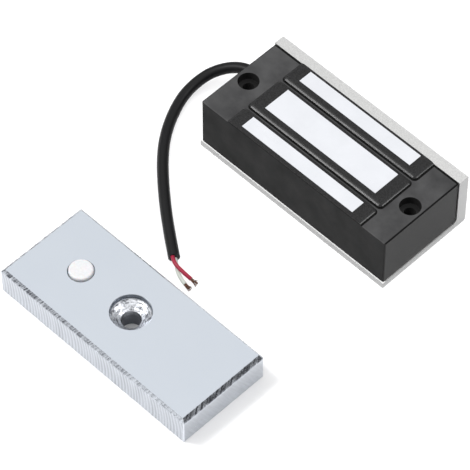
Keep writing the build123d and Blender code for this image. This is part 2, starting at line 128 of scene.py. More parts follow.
def add_lamp(name, direction, distance, size, power, blockers):
    """A square lamp that points at the object and is shaded only by the blockers' pieces."""
    data = bpy.data.lights.new(name, "AREA")
    data.shape = "SQUARE"
    data.size = size
    data.energy = power
    lamp = bpy.data.objects.new(name, data)
    bpy.context.scene.collection.objects.link(lamp)
    towards = Vector(direction).normalized()
    lamp.location = CAMERA_TARGET + towards * distance
    lamp.rotation_euler = (-towards).to_track_quat("-Z", "Y").to_euler()
    lamp.light_linking.blocker_collection = blockers


def add_lamps(shading_piece):
    """The lamps.  One piece shades them, which keeps its holes dark and the floor white."""
    blockers = bpy.data.collections.new("blockers")
    blockers.objects.link(shading_piece)
    for lamp in LAMPS:
        add_lamp(*lamp, blockers)


def add_floor():
    half = FLOOR_SIZE / 2
    mesh = bpy.data.meshes.new("floor")
    corners = [(-half, -half, 0), (half, -half, 0), (half, half, 0), (-half, half, 0)]
    mesh.from_pydata(corners, [], [(0, 1, 2, 3)])
    floor = bpy.data.objects.new("floor", mesh)
    floor.location.z = -FLOOR_DROP
    bpy.context.scene.collection.objects.link(floor)
    made = Material("floor_paper", FLOOR_PAPER, roughness=0.9)
    mesh.materials.append(made.material)


# ================================================================ material maker
def grey(level):
    return (level, level, level, 1.0)


def set_stops(ramp, stops):
    """Sets a colour ramp's stops from (place, grey level or colour) pairs."""
    elements = ramp.color_ramp.elements
    while len(elements) > 1:
        elements.remove(elements[-1])
    for index, (place, level) in enumerate(stops):
        stop = elements[0] if index == 0 else elements.new(place)
        stop.position = place
        stop.color = (*level, 1.0) if isinstance(level, tuple) else grey(level)


NOISE_ROUGHNESS = 0.55
# A Mix node's sockets for the factor and the two colours, and the one for the mixed colour.
MIX_INPUTS = (0, 6, 7)
MIX_OUTPUT = 2
# A surface starts to count as facing along an axis at the first value and fully does at the second.
FACING_START = 0.3
FACING_FULL = 0.8


class Material:
    """A Principled material and the few kinds of node that these finishes need."""

    def __init__(self, name, colour, roughness, metallic=0.0, **sockets):
        self.material = bpy.data.materials.new(name)
        self.material.use_nodes = True
        self.tree = self.material.node_tree
        self.shader = self.tree.nodes["Principled BSDF"]
        self.normal = None
        self.put("Base Color", (*colour, 1.0))
        self.put("Roughness", roughness)
        self.put("Metallic", metallic)
        for socket, value in sockets.items():
            self.put(socket.replace("_", " "), value)

    def put(self, socket, value):
        """Sets a shader socket to a value or links a node's output to it."""
        target = self.shader.inputs[socket]
        if isinstance(value, bpy.types.NodeSocket):
            self.tree.links.new(value, target)
        else:
            target.default_value = value

    def add(self, kind, inputs=(), **settings):
        node = self.tree.nodes.new("ShaderNode" + kind)
        for key, value in settings.items():
            setattr(node, key, value)
        for key, value in dict(inputs).items():
            if isinstance(value, bpy.types.NodeSocket):
                self.tree.links.new(value, node.inputs[key])
            else:
                node.inputs[key].default_value = value
        return node

    def place(self, scale=(1, 1, 1), turn=(0, 0, 0)):
        """Object coordinates in millimetres, stretched by a scale on each axis."""
        coordinates = self.add("TexCoord").outputs["Object"]
        size = tuple(part / MM for part in scale)
        inputs = {"Vector": coordinates, "Scale": size, "Rotation": turn}
        return self.add("Mapping", inputs).outputs["Vector"]

    def noise(self, vector, scale, detail=3.0):
        inputs = {
            "Vector": vector,
            "Scale": scale,
            "Detail": detail,
            "Roughness": NOISE_ROUGHNESS,
        }
        return self.add("TexNoise", inputs).outputs["Fac"]

    def wave(self, vector, scale, distortion):
        """Even ridges one above another."""
        inputs = {"Vector": vector, "Scale": scale, "Distortion": distortion}
        return self.add("TexWave", inputs, bands_direction="Z").outputs["Fac"]

    def cells(self, vector, scale):
        inputs = {"Vector": vector, "Scale": scale}
        return self.add("TexVoronoi", inputs).outputs["Distance"]

    def ramp(self, value, stops):
        made = self.add("ValToRGB", {"Fac": value})
        set_stops(made, stops)
        return made.outputs["Color"]

    def span(self, value, low, high):
        """Turns a 0 to 1 value into one from low to high."""
        inputs = {"Value": value, "To Min": low, "To Max": high}
        return self.add("MapRange", inputs).outputs["Result"]

    def step(self, value, start, end):
        """0 before start and 1 after end.  An end below its start turns the step round."""
        inputs = {"Value": value, "From Min": start, "From Max": end}
        return self.add("MapRange", inputs).outputs["Result"]

    def math(self, operation, first, second=0.0):
        return self.add("Math", {0: first, 1: second}, operation=operation).outputs[0]

    def mix(self, factor, first, second):
        made = self.add("Mix", data_type="RGBA")
        for index, value in zip(MIX_INPUTS, (factor, first, second)):
            if isinstance(value, bpy.types.NodeSocket):
                self.tree.links.new(value, made.inputs[index])
            elif isinstance(value, tuple):
                made.inputs[index].default_value = (*value[:3], 1.0)
            else:
                made.inputs[index].default_value = value
        return made.outputs[MIX_OUTPUT]

    def product(self, first, *others):
        for other in others:
            first = self.math("MULTIPLY", first, other)
        return first

    def largest(self, first, *others):
        for other in others:
            first = self.math("MAXIMUM", first, other)
        return first

    def reach(self, first, second):
        """The distance that two parts at right angles to each other make."""
        squares = (self.math("MULTIPLY", part, part) for part in (first, second))
        return self.math("SQRT", self.math("ADD", *squares))

    def without(self, value):
        """The opposite of a 0 to 1 value."""
        return self.math("SUBTRACT", 1.0, value)

    def axis(self, name):
        """One object coordinate, in millimetres."""
        split = self.add("SeparateXYZ", {0: self.place()})
        return split.outputs[name]

    def facing(self, name):
        """How far the surface's own direction goes along an axis, from -1 to 1."""
        split = self.add("SeparateXYZ", {0: self.add("NewGeometry").outputs["True Normal"]})
        return split.outputs[name]

    def faces(self, name, way=1):
        """1 where the surface faces along an axis, or against it when way is -1."""
        return self.step(self.facing(name), way * FACING_START, way * FACING_FULL)

    def bump(self, height, depth):
        """Adds relief of a depth in millimetres on top of any relief already there."""
        inputs = {"Height": height, "Distance": depth * MM, "Strength": 1.0}
        if self.normal:
            inputs["Normal"] = self.normal
        self.normal = self.add("Bump", inputs).outputs["Normal"]
        self.put("Normal", self.normal)


# ================================================================ black moulding
# Millimetres.  Each pair is where a zone fades in and where it is full.  These are the heights of the
# raised lands' wall, bevel and flat, and the height where the bevels at the ends lose their gloss.
WALL_HEIGHTS = (21.95, 22.0)
BEVEL_HEIGHTS = (22.32, 22.37)
FLAT_HEIGHTS = (22.52, 22.7)
DULL_HEIGHTS = (22.48, 22.52)
END_SLOPE = (0.2, 0.35)
# The length of the lands, and the middle and the width of each one across the lock.
LAND_CENTRE_X = 0.6
LAND_LENGTH = 57.3
LAND_CORNER_RADIUS = 1.2
LANDS = [(-15.0, 8.64), (-2.38, 14.2), (10.5, 9.16)]
# The painted shade line round a land's foot is shifted towards the front and right.
FOOT_SHIFT = 0.16
FOOT_WIDTH = 0.34
FOOT_BLUR = 0.04
# Painted shade lines beside the angle's wall and along the end of the block.
WALL_LINE_Y = (14.05, 14.15)
END_LINE_X = (39.15, 39.25)
# How a rounded edge's own direction tells it from flat faces and from the front's edges.
ROUNDED = (0.99, 0.96)
NOT_FRONTWARD = (-0.2, -0.1)
LEANING = (0.12, 0.2)
HOLE_X = 35.0
HOLE_Y = -2.2
COUNTERBORE_EDGE = (3.55, 3.45)
BLOCK_GREYS = [(0.32, (0.029, 0.029, 0.030)), (0.66, (0.062, 0.062, 0.063))]
# The side faces are painted darker than the top, and the +X end darker still: painted shade.
FRONT_SHADE_GREYS = [(0.3, (0.008, 0.008, 0.008)), (0.7, (0.020, 0.020, 0.020))]
END_SHADE_GREYS = [(0.3, (0.005, 0.005, 0.005)), (0.7, (0.013, 0.013, 0.013))]
GRAIN_GREYS = [(0.35, (0.009, 0.009, 0.009)), (0.7, (0.028, 0.028, 0.029))]
# Painted shade, black, on the lands' walls, their feet, the borders and the rounded edges.
PAINTED_SHADE_BLACK = (0.003, 0.003, 0.003)
# Painted shade in the screw holes, on their floors and walls.
PIT_FLOOR_SHADE = (0.010, 0.010, 0.010)
PIT_WALL_SHADE = (0.016, 0.016, 0.016)
BLACK_ROUGHNESS = (0.34, 0.5)
FLAT_ADDED_ROUGHNESS = 0.12
BEVEL_ADDED_GLOSS = 0.2
FRONT_ROUGHNESS = 0.75
LINE_ROUGHNESS = 0.9


def moulded_black():
    """Satin ABS: leather grain on the lands' flats and glossy bevels, with painted shade on the lands'
    walls and feet, the rounded edges, the holes and the side faces.
    """
    made = Material("moulded_black", (0.03, 0.03, 0.031), roughness=0.4, Specular_IOR_Level=0.17)
    place = made.place()
    clouds = made.noise(place, scale=0.11, detail=5.0)
    fine = made.noise(place, scale=2.6)
    on_land, on_wall, on_bevel, on_flat = land_zones(made)
    # Where shade is painted black: the lands' walls, their feet, the borders and rounded edges.
    dark = painted_shade_lines(made, on_land, on_wall)
    upward = made.faces("Z")
    # Painted shade: the side faces darker than the top, and the +X end darker still.
    sides = made.mix(made.faces("X"), made.ramp(clouds, FRONT_SHADE_GREYS), made.ramp(clouds, END_SHADE_GREYS))
    block = made.mix(upward, sides, made.ramp(clouds, BLOCK_GREYS))
    colour = made.mix(on_land, block, made.ramp(fine, GRAIN_GREYS))
    # Painted shade in the screw holes.
    pit_shade = made.mix(upward, PIT_WALL_SHADE, PIT_FLOOR_SHADE)
    colour = made.mix(in_counterbore(made), colour, pit_shade)
    made.put("Base Color", made.mix(dark, colour, PAINTED_SHADE_BLACK))
    rough = made.span(clouds, *BLACK_ROUGHNESS)
    rough = made.math("ADD", rough, made.product(on_flat, FLAT_ADDED_ROUGHNESS))
    rough = made.math("SUBTRACT", rough, made.product(on_bevel, BEVEL_ADDED_GLOSS))
    front = made.product(made.faces("Y", way=-1), FRONT_ROUGHNESS)
    made.put("Roughness", made.largest(rough, front, made.product(dark, LINE_ROUGHNESS)))
    grain = made.cells(place, scale=2.4)
    made.bump(made.product(grain, on_flat), depth=0.05)
    made.bump(made.product(fine, made.without(on_bevel)), depth=0.008)
    return made.material


def land_zones(made):
    """1 on all of a raised land, on its wall, on the glossy part of its bevel and on its flat."""
    height = made.axis("Z")
    on_land = made.step(height, *WALL_HEIGHTS)
    above_wall = made.step(height, *BEVEL_HEIGHTS)
    on_flat = made.step(height, *FLAT_HEIGHTS)
    on_wall = made.math("SUBTRACT", on_land, above_wall)
    slope = made.math("SUBTRACT", above_wall, on_flat)
    end_slope = made.step(made.math("ABSOLUTE", made.facing("X")), *END_SLOPE)
    dull = made.product(end_slope, made.step(height, *DULL_HEIGHTS))
    on_bevel = made.product(slope, made.without(dull))
    return on_land, on_wall, on_bevel, on_flat


def painted_shade_lines(made, on_land, on_wall):
    """Painted shade: 1 on the lands' walls and, off the lands, on their feet, the borders and rounded
    edges.
    """
    beside_wall = made.step(made.axis("Y"), *WALL_LINE_Y)
    near_end = made.step(made.axis("X"), *END_LINE_X)
    on_top = made.product(made.largest(shaded_land_feet(made), beside_wall, near_end), made.faces("Z"))
    lines = made.largest(shaded_edge(made), on_top)
    return made.largest(on_wall, made.product(lines, made.without(on_land)))


def shaded_edge(made):
    """1 on the rounded edges that face the ends or the wall of the angle, which are painted dark as
    shade.
    """
    along, across, up = (made.math("ABSOLUTE", made.facing(name)) for name in "XYZ")
    rounded = made.step(made.largest(along, across, up), *ROUNDED)
    not_front = made.step(made.facing("Y"), *NOT_FRONTWARD)
    leaning = made.step(made.largest(along, made.facing("Y")), *LEANING)
    return made.product(rounded, not_front, leaning)


def shaded_land_feet(made):
    """1 on a narrow line of painted shade round the foot of each land."""
    edge = LAND_CORNER_RADIUS + FOOT_WIDTH
    lines = []
    for centre_y, width in LANDS:
        past_x = past_corner(made, "X", LAND_CENTRE_X + FOOT_SHIFT, LAND_LENGTH / 2)
        past_y = past_corner(made, "Y", centre_y - FOOT_SHIFT, width / 2)
        lines.append(made.step(made.reach(past_x, past_y), edge + FOOT_BLUR, edge))
    return made.largest(*lines)


def past_corner(made, name, centre, half):
    """How far past the centre of a land's rounded corner a place is on one axis, or 0."""
    distance = made.math("ABSOLUTE", made.math("SUBTRACT", made.axis(name), centre))
    return made.largest(made.math("SUBTRACT", distance, half - LAND_CORNER_RADIUS), 0.0)


def in_counterbore(made):
    """1 inside the two screw holes."""
    along = made.math("SUBTRACT", made.math("ABSOLUTE", made.axis("X")), HOLE_X)
    across = made.math("SUBTRACT", made.axis("Y"), HOLE_Y)
    return made.step(made.reach(along, across), *COUNTERBORE_EDGE)


# ================================================================ other finishes
def cast_resin():
    made = Material("cast_resin", (0.03, 0.03, 0.03), roughness=0.3)
    slow = made.noise(made.place(), scale=0.3)
    made.put("Roughness", made.span(slow, 0.2, 0.45))
    made.bump(slow, depth=0.2)
    return made.material


ALUMINIUM_GREYS = [(0.3, (0.55, 0.55, 0.545)), (0.7, (0.76, 0.76, 0.75))]
DIE_LINE_GREY = (0.62, 0.62, 0.62)
DIE_LINE_SHARE = 0.35
# Painted shade on the ends and on the base's long front edge.
SHADED_FACE_GREY = (0.34, 0.34, 0.34)
SHADED_FACE_SHARE = 0.72
# Painted light on the top of the base's front lip, which is also made less metallic.
LIT_LIP_WHITE = (0.88, 0.88, 0.875)
LIP_Y = (-17.5, -17.8)
LIP_DULLING = 0.9
# Painted shade in the inner corner between the base and the wall, which is also rougher.
INNER_CORNER_SHADE_GREY = (0.16, 0.16, 0.16)
INNER_CORNER_ROUGHNESS = 0.8
INNER_CORNER_LEAN = (0.1, 0.2)
INNER_CORNER_Y = (10.0, 11.0)
# How far a surface's direction goes along X on an end, and along Y on the base's long edge.
END_FACING = (0.7, 0.9)
EDGE_FACING = (-0.6, -0.9)


def extruded_aluminium():
    """Satin extruded angle: speckle, die lines along it, saw marks on the cut ends, painted shade on
    the ends and the base's front edge, painted light on the lip, which is also less metallic, and
    painted shade in the rougher inner corner.
    """
    made = Material("extruded_aluminium", (0.80, 0.80, 0.79), roughness=0.4, metallic=1.0)
    speckle = made.noise(made.place(), scale=3.2, detail=2.0)
    die_lines = made.noise(made.place(scale=(0.03, 2.2, 2.2)), scale=1.0)
    saw_marks = made.wave(made.place(turn=(0.5, 0, 0)), scale=0.8, distortion=1.5)
    end = made.step(made.math("ABSOLUTE", made.facing("X")), *END_FACING)
    # Painted shade on the ends and the base's front edge.
    shaded_face = made.largest(end, made.step(made.facing("Y"), *EDGE_FACING))
    # Painted light on the base's front lip.
    lit_lip = made.product(made.faces("Z"), made.step(made.axis("Y"), *LIP_Y))
    leaning_up = made.step(made.facing("Z"), *INNER_CORNER_LEAN)
    leaning_out = made.step(made.math("MULTIPLY", made.facing("Y"), -1.0), *INNER_CORNER_LEAN)
    near_wall = made.step(made.axis("Y"), *INNER_CORNER_Y)
    # Painted shade in the inner corner.
    shaded_inner_corner = made.product(leaning_up, leaning_out, near_wall)
    shade = made.ramp(speckle, ALUMINIUM_GREYS)
    colour = made.mix(made.product(die_lines, DIE_LINE_SHARE), shade, DIE_LINE_GREY)
    colour = made.mix(made.product(shaded_face, SHADED_FACE_SHARE), colour, SHADED_FACE_GREY)
    colour = made.mix(lit_lip, colour, LIT_LIP_WHITE)
    made.put("Base Color", made.mix(shaded_inner_corner, colour, INNER_CORNER_SHADE_GREY))
    made.put("Metallic", made.without(made.product(lit_lip, LIP_DULLING)))
    rough = made.span(speckle, 0.32, 0.5)
    made.put("Roughness", made.largest(rough, made.product(shaded_inner_corner, INNER_CORNER_ROUGHNESS)))
    made.bump(die_lines, depth=0.02)
    made.bump(made.product(saw_marks, end), depth=0.03)
    made.bump(speckle, depth=0.012)
    return made.material


STAIN_SHADE = 0.965


def ground_steel(name, colour, along, depth):
    """Plated steel with faint stains and fine grinding lines.  Along stretches them on each axis."""
    made = Material(name, colour, roughness=0.28, metallic=1.0)
    lines = made.noise(made.place(scale=along), scale=1.0, detail=4.0)
    stains = made.noise(made.place(), scale=0.10)
    dark = tuple(part * STAIN_SHADE for part in colour)
    made.put("Base Color", made.mix(made.ramp(stains, [(0.42, 1.0), (0.62, 0.0)]), colour, dark))
    made.put("Roughness", made.span(lines, 0.24, 0.36))
    made.bump(lines, depth=depth)
    return made.material


PLATED_METAL = [(0.57, 0.615, 0.675), (0.60, 0.64, 0.695)]
FRESH_METAL = (0.74, 0.76, 0.80)
# Dark metal where the mesh says so: cut marks, and painted shade on the sawn sides and in the bolt
# hole.
CUT_SHADE_METAL = (0.09, 0.095, 0.11)
FRESH_ADDED_ROUGHNESS = 0.1


def bright_plate():
    """Plated bar stock.  The mesh says how dark each place is, from cut marks and painted shade, and
    how freshly cut it is.
    """
    made = Material("bright_plate", (0.66, 0.69, 0.76), roughness=0.24, metallic=1.0)
    place = made.place()
    clouds = made.noise(place, scale=0.05, detail=2.0)
    fine = made.noise(place, scale=1.6)
    grit = made.noise(place, scale=4.0, detail=2.0)
    cut_shade = made.add("Attribute", attribute_name=CUT_SHADE).outputs["Fac"]
    fresh = made.add("Attribute", attribute_name=FRESH).outputs["Fac"]
    colour = made.mix(fresh, made.mix(clouds, *PLATED_METAL), FRESH_METAL)
    # Painted shade and cut marks darken the metal.
    made.put("Base Color", made.mix(cut_shade, colour, CUT_SHADE_METAL))
    smooth = made.span(fine, 0.18, 0.3)
    made.put("Roughness", made.math("ADD", smooth, made.product(fresh, FRESH_ADDED_ROUGHNESS)))
    made.bump(fine, depth=0.004)
    made.bump(made.product(grit, fresh), depth=0.03)
    return made.material


def white_nylon():
    made = Material(
        "white_nylon",
        (0.7, 0.7, 0.71),
        roughness=0.42,
        Subsurface_Weight=0.15,
        Subsurface_Scale=1.0 * MM,
    )
    fine = made.noise(made.place(), scale=1.2)
    made.put("Base Color", made.ramp(fine, [(0.3, (0.57, 0.57, 0.58)), (0.7, (0.64, 0.64, 0.65))]))
    made.put("Roughness", made.span(fine, 0.34, 0.5))
    made.bump(fine, depth=0.01)
    return made.material


PVC_PALER = 1.35


def sheath(name, colour, roughness, relief=0.012, shine=0.3):
    """Extruded PVC over a lead, with a slightly uneven skin."""
    made = Material(name, colour, roughness=roughness, Specular_IOR_Level=shine)
    fine = made.noise(made.place(), scale=1.4, detail=4.0)
    paler = tuple(part * PVC_PALER for part in colour)
    made.put("Base Color", made.mix(fine, colour, paler))
    made.put("Roughness", made.span(fine, roughness - 0.08, roughness + 0.1))
    made.bump(fine, depth=relief)
    return made.material


COPPER_STAINS = [(0.35, (0.03, 0.018, 0.014)), (0.7, (0.24, 0.12, 0.075))]


def bare_copper():
    """Tarnished strands, dark where they are stained."""
    made = Material("bare_copper", (0.30, 0.14, 0.08), roughness=0.4, metallic=1.0)
    stains = made.noise(made.place(), scale=2.0)
    made.put("Base Color", made.ramp(stains, COPPER_STAINS))
    made.put("Roughness", made.span(stains, 0.3, 0.55))
    return made.material


def wound_copper():
    """Enamelled wire in even turns up the coil, painted darker in the grooves between turns as shade.
    """
    made = Material("wound_copper", (0.55, 0.21, 0.09), roughness=0.3, metallic=1.0)
    turns = made.wave(made.place(), scale=0.9, distortion=0.15)
    # Painted shade in the grooves between the turns.
    made.put("Base Color", made.ramp(turns, [(0.1, (0.22, 0.07, 0.03)), (0.7, (0.62, 0.25, 0.11))]))
    made.bump(turns, depth=0.12)
    return made.material


def polyester_tape():
    made = Material("polyester_tape", (0.72, 0.52, 0.06), roughness=0.3)
    wrinkles = made.noise(made.place(scale=(1, 1, 0.2)), scale=0.7)
    yellows = [(0.3, (0.62, 0.43, 0.04)), (0.7, (0.80, 0.60, 0.10))]
    made.put("Base Color", made.ramp(wrinkles, yellows))
    made.bump(wrinkles, depth=0.05)
    return made.material


PLAIN_DARKER = 0.8


def plain(name, colour, roughness, metallic=0.0):
    """A simple moulded, turned or plated finish for small inner pieces."""
    made = Material(name, colour, roughness=roughness, metallic=metallic)
    fine = made.noise(made.place(), scale=1.0, detail=4.0)
    darker = tuple(part * PLAIN_DARKER for part in colour)
    made.put("Base Color", made.mix(fine, darker, colour))
    made.put("Roughness", made.span(fine, roughness - 0.06, roughness + 0.1))
    made.bump(fine, depth=0.02)
    return made.material


# ================================================================ cable
# Routes are in millimetres.
CABLE_DIAMETER = 3.8 * MM
CORE_DIAMETER = 1.3 * MM
CABLE_ROUTE = [
    (-40.7, 10.3, 7.0),
    (-45.6, 10.3, 7.0),
    (-50.3, 8.6, 6.5),
    (-54.1, 5.2, 5.4),
    (-56.8, -0.1, 4.1),
    (-57.2, -8.6, 2.6),
    (-54.2, -17.2, 1.9),
    (-49.3, -25.6, 1.9),
    (-42.7, -33.2, 1.9),
    (-33.4, -41.6, 1.9),
    (-22.7, -50.2, 1.9),
    (-13.1, -57.0, 1.9),
]
RED_ROUTE = [
    (-13.39, -57.41, 2.6),
    (-11.43, -58.80, 2.6),
    (-7.4, -59.2, 2.3),
    (-3.7, -58.9, 1.5),
]
WHITE_ROUTE = [
    (-12.90, -56.71, 1.2),
    (-11.27, -57.87, 1.2),
    (-7.6, -60.6, 1.1),
    (-3.9, -61.3, 0.9),
]
TUBE_ROUNDNESS = 8
TUBE_SMOOTHNESS = 16
SPLINE_ORDER = 3


def smooth_tube(name, route, diameter, material):
    """A tube along a smooth spline that a route's points control."""
    curve = bpy.data.curves.new(name, "CURVE")
    curve.dimensions = "3D"
    curve.bevel_depth = diameter / 2
    curve.bevel_resolution = TUBE_ROUNDNESS
    curve.resolution_u = TUBE_SMOOTHNESS
    curve.use_fill_caps = True
    spline = curve.splines.new("NURBS")
    spline.points.add(len(route) - 1)
    for point, place in zip(spline.points, route):
        point.co = (*(part * MM for part in place), 1.0)
    spline.order_u = SPLINE_ORDER
    spline.use_endpoint_u = True
    curve.materials.append(material)
    piece = bpy.data.objects.new(name, curve)
    bpy.context.scene.collection.objects.link(piece)
    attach(piece, "magnet")
    return piece


STRAND_COUNT = 11
STRAND_RADIUS = 0.11
STRAND_LENGTH = 2.8
STRAND_ROOT = 0.6
BUNDLE_RADIUS = 0.34
BUNDLE_SPLAY = 0.9
STRAND_STEPS = 8
STRAND_TWIST = 1.2
STRAND_ROUNDNESS = 3
# Every third strand runs nearer the bundle's middle, at this share of its radius.
INNER_EVERY = 3
INNER_SHARE = 0.35
LEAST_FRAY = 0.1
LEAST_LENGTH = 0.72


def bare_strands(name, route, material, seed):
    """Fine wires that come out of a core's insulation, twisted together and frayed at the tips."""
    random.seed(seed)
    end = Vector(route[-1])
    along = (end - Vector(route[-2])).normalized()
    side = along.cross(Vector((0, 0, 1))).normalized()
    up = side.cross(along)
    curve = bpy.data.curves.new(name, "CURVE")
    curve.dimensions = "3D"
    curve.bevel_depth = STRAND_RADIUS * MM
    curve.bevel_resolution = STRAND_ROUNDNESS
    curve.use_fill_caps = True
    for index in range(STRAND_COUNT):
        angle = 2 * math.pi * index / STRAND_COUNT
        radius = BUNDLE_RADIUS * (INNER_SHARE if index % INNER_EVERY == 0 else 1.0)
        fray = BUNDLE_SPLAY * random.uniform(LEAST_FRAY, 1.0)
        length = STRAND_LENGTH * random.uniform(LEAST_LENGTH, 1.0)
        spline = curve.splines.new("POLY")
        spline.points.add(STRAND_STEPS - 1)
        for step, point in enumerate(spline.points):
            share = step / (STRAND_STEPS - 1)
            turn = angle + STRAND_TWIST * share
            reach = radius + fray * share**2
            offset = side * math.cos(turn) * reach + up * math.sin(turn) * reach
            place = end + along * (share * (length + STRAND_ROOT) - STRAND_ROOT) + offset
            place.z = max(place.z, STRAND_RADIUS)
            point.co = (*(place * MM), 1.0)
    curve.materials.append(material)
    piece = bpy.data.objects.new(name, curve)
    bpy.context.scene.collection.objects.link(piece)
    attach(piece, "magnet")
    return piece


def add_cable():
    black = sheath("cable_black", (0.005, 0.005, 0.0055), roughness=0.42, shine=0.18)
    red = sheath("red_pvc", (0.25, 0.010, 0.032), roughness=0.35, relief=0.006)
    white = sheath("white_pvc", (0.40, 0.42, 0.385), roughness=0.35, relief=0.006)
    copper = bare_copper()
    jacket = smooth_tube("cable_sheath", CABLE_ROUTE, CABLE_DIAMETER, black)
    red_core = smooth_tube("red_core", RED_ROUTE, CORE_DIAMETER, red)
    white_core = smooth_tube("white_core", WHITE_ROUTE, CORE_DIAMETER, white)
    red_ends = bare_strands("red_strands", RED_ROUTE, copper, seed=3)
    white_ends = bare_strands("white_strands", WHITE_ROUTE, copper, seed=8)
    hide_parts("cable_jacket")
    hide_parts("core_wire_red")
    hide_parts("core_wire_white")
    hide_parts("strands_red")
    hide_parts("strands_white")


# ================================================================ armature plate
# Millimetres, from the middle of the plate's underside.
plate_low, plate_high = (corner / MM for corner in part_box("armature_plate"))
plate_corner = Vector(((plate_low.x + plate_high.x) / 2, (plate_low.y + plate_high.y) / 2, 0.0))
PLATE_LENGTH, PLATE_WIDTH, PLATE_THICK = plate_high - plate_low
CORNER_RADIUS = 0.35
LEAST_CORNER_RADIUS = 0.08
CORNER_TAPER = 0.3
SIDE_CHAMFER = 0.9
END_CHAMFER = 1.2
HEEL_CHAMFER = 0.25
EDGE_BREAK = 0.12
WALL_TOP = 9.2
RECESS_RADIUS = 6.6
RECESS_DEPTH = 2.0
BORE_RADIUS = 3.25
DRILL_HALF_ANGLE = math.radians(59.0)
CONE_HEIGHT = (RECESS_RADIUS - BORE_RADIUS) / math.tan(DRILL_HALF_ANGLE)
CONE_LIP = 0.15
PLUNGER_OFFSET = -22.0
PLUNGER_BORE_RADIUS = 4.25
PLUNGER_BACK_RADIUS = 4.9
PLUNGER_NECK_DEPTH = 4.0

# How finely the plate is divided.
SIDE_STEP = 0.2
CORNER_STEPS = 4
CHAMFER_STEPS = 5
WALL_STEPS = 12
CONE_STEPS = 20
HOLE_SEGMENTS = 120
SHARP_ANGLE = math.radians(40)

# The sides are numbered anticlockwise from the one at -Y, and CORNER stands for all the corners.
LONG_SIDES = (0, 2)
CORNER = 4

# Mesh attributes that the finish reads: how dark a place is, from cut marks and painted shade, and how
# fresh its metal is.
CUT_SHADE = "cut_shade"
FRESH = "fresh"


def side_points(length, width, radius):
    """Points, outward directions and sides of a rounded rectangle, anticlockwise from -Y."""
    half_x, half_y = length / 2, width / 2
    sides = [
        ((-half_x + radius, -half_y), (half_x - radius, -half_y), -math.pi / 2),
        ((half_x, -half_y + radius), (half_x, half_y - radius), 0.0),
        ((half_x - radius, half_y), (-half_x + radius, half_y), math.pi / 2),
        ((-half_x, half_y - radius), (-half_x, -half_y + radius), math.pi),
    ]
    corners = [
        (half_x - radius, -half_y + radius),
        (half_x - radius, half_y - radius),
        (-half_x + radius, half_y - radius),
        (-half_x + radius, -half_y + radius),
    ]
    found = []
    for index, (start, end, angle) in enumerate(sides):
        count = round((PLATE_LENGTH if index in LONG_SIDES else PLATE_WIDTH) / SIDE_STEP)
        out = (math.cos(angle), math.sin(angle))
        for number in range(count + 1):
            share = number / count
            place = tuple(a + (b - a) * share for a, b in zip(start, end))
            found.append((place, out, index))
        for number in range(1, CORNER_STEPS):
            turn = angle + math.pi / 2 * number / CORNER_STEPS
            out = (math.cos(turn), math.sin(turn))
            place = tuple(c + radius * o for c, o in zip(corners[index], out))
            found.append((place, out, CORNER))
    return found


def clamp(value):
    return min(max(value, 0.0), 1.0)


# In every noise below, side times a whole number keeps the four sides' patterns apart.

# Saw strokes on the long sides: how far apart and deep they are, how they bow and lean with height,
# how they drift along the side, and how deep the shallowest are.
SAW_PITCH = 1.35
SAW_DEPTH = 0.06
SAW_BOW = 0.022
SAW_BOW_MIDDLE = 5.0
SAW_LEAN = 0.10
SAW_DRIFT = 0.6
DRIFT_PACE = 0.10
SAW_WEIGHT = 0.75
SAW_WEIGHT_CHANGE = 0.35
WEIGHT_PACE = (0.31, 0.12)


def saw_relief(along, height, side):
    """How deep the sawn long sides are cut, from 0 to about 1: slanting, slightly bowed strokes."""
    bow = SAW_BOW * (height - SAW_BOW_MIDDLE) ** 2 + SAW_LEAN * height
    drift = SAW_DRIFT * noise(Vector((along * DRIFT_PACE, side * 9.0, 0.0)))
    phase = 2 * math.pi * (along + bow + drift) / SAW_PITCH
    patch = Vector((along * WEIGHT_PACE[0], height * WEIGHT_PACE[1], side * 4.0 + 2.0))
    weight = SAW_WEIGHT + SAW_WEIGHT_CHANGE * noise(patch)
    return weight * (0.5 + 0.5 * math.cos(phase))


# Cutter chatter on the chamfers: how deep it is, how fast its strokes and grit change along the
# long sides and the ends, how the strokes slant, and how strong each is.
CHATTER_DEPTH = 0.10
LONG_STROKE_PACE = 2.1
END_STROKE_PACE = 0.95
STROKE_SLANT = 1.7
STROKE_FRAYING = 0.4
STROKE_SHARE = 0.9
GRIT_PACE = (4.6, 4.0)
GRIT_SHARE = 0.45


def chatter(along, across, side):
    """How deep the chamfer's uneven strokes are cut, from 0 to 1."""
    pace = LONG_STROKE_PACE if side in LONG_SIDES else END_STROKE_PACE
    stroke = noise(Vector((along * pace + across * STROKE_SLANT, side * 5.0, across * STROKE_FRAYING)))
    grit = noise(Vector((along * GRIT_PACE[0], across * GRIT_PACE[1], side * 7.0)))
    return clamp(0.5 + STROKE_SHARE * stroke + GRIT_SHARE * grit)


def add_ring(mesh, looks, places):
    """Vertices at (place, darkness from cut marks and painted shade, fresh) entries; looks keeps what
    each vertex's metal is like.
    """
    ring = []
    for place, *look in places:
        vertex = mesh.verts.new(place)
        looks[vertex] = look
        ring.append(vertex)
    return ring


def carry_looks(mesh, looks, faces):
    """Hands the looks of the vertices to these faces' corners, where the finish reads them."""
    cut_shade = mesh.loops.layers.float.new(CUT_SHADE)
    fresh = mesh.loops.layers.float.new(FRESH)
    for face in faces:
        for corner in face.loops:
            corner[cut_shade], corner[fresh] = looks[corner.vert]


def bridge(mesh, upper, lower):
    """Quads between two rings of the same length, and the faces made."""
    made = []
    count = len(upper)
    for index in range(count):
        after = (index + 1) % count
        made.append(mesh.faces.new((upper[index], lower[index], lower[after], upper[after])))
    return made


